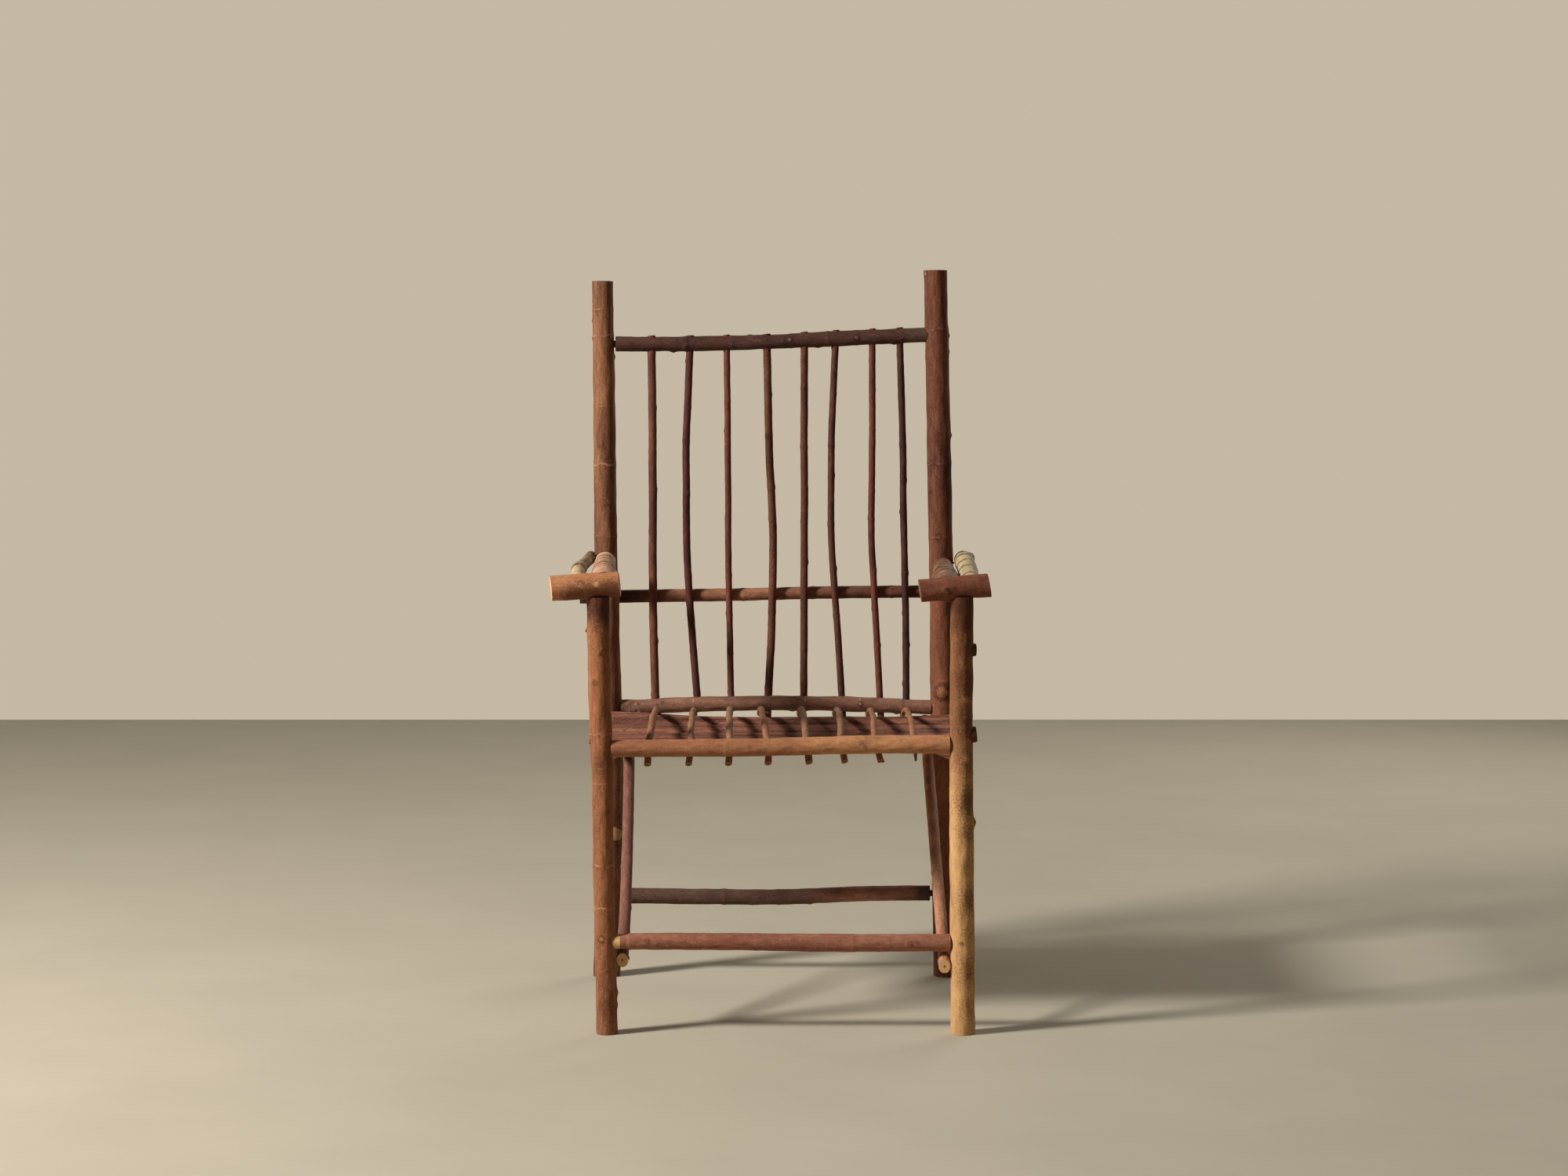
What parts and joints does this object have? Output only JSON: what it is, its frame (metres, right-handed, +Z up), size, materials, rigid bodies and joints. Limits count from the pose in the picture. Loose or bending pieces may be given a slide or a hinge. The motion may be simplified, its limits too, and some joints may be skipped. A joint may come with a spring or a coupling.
{
  "type": "twig chair",
  "caption": "Rustic armchair of round sticks with their bark on: tall stick back, split slab seat held by bent twigs, slanting side braces and cross-piece arms.",
  "frame": {"origin": "on the floor under the middle of the chair's bounding box", "axes": "+X to the right as seen from the front, +Y to the back, +Z up"},
  "size_m": [0.65, 0.5068, 1.118],
  "materials": {
    "bark_brown": "smooth brown bark with scars and lenticels",
    "bark_tan": "thin tan bark",
    "bark_dark": "dark grey-brown bark",
    "bark_red": "reddish brown bark",
    "bark_pale": "pale yellow bark with dark rings",
    "twig_dark": "dark reddish bark with small buds",
    "twig_tan": "tan twig bark",
    "split_wood": "half-round split sticks, weathered",
    "nail": "dull iron"
  },
  "bodies": {
    "root": {"arm_crosspiece_left": "bark_tan", "arm_crosspiece_right": "bark_red", "arm_inner_left": "bark_brown", "arm_inner_right": "bark_brown", "arm_nails": "nail", "arm_outer_left": "bark_pale", "arm_outer_right": "bark_pale", "back_seat_rail": "bark_dark", "brace_nails": "nail", "crest_rail": "bark_dark", "front_leg_left": "bark_tan", "front_leg_right": "bark_tan", "front_seat_rail": "bark_tan", "front_stretcher": "bark_red", "mid_rail": "bark_dark", "mid_rail_nails": "nail", "rear_post_left": "bark_brown", "rear_post_right": "bark_brown", "rear_stretcher": "bark_dark", "seat_slab_1": "split_wood", "seat_slab_2": "split_wood", "seat_slab_3": "split_wood", "seat_slab_4": "split_wood", "seat_slab_5": "split_wood", "seat_twig_1": "twig_tan", "seat_twig_2": "twig_tan", "seat_twig_3": "twig_tan", "seat_twig_4": "twig_tan", "seat_twig_5": "twig_tan", "seat_twig_6": "twig_tan", "seat_twig_7": "twig_tan", "seat_twig_8": "twig_tan", "side_brace_left": "bark_red", "side_brace_right": "bark_red", "side_seat_rail_left": "bark_brown", "side_seat_rail_right": "bark_brown", "spindle_1": "twig_dark", "spindle_2": "twig_dark", "spindle_3": "twig_dark", "spindle_4": "twig_dark", "spindle_5": "twig_dark", "spindle_6": "twig_dark", "spindle_7": "twig_dark", "spindle_8": "twig_dark"}
  },
  "joints": []
}
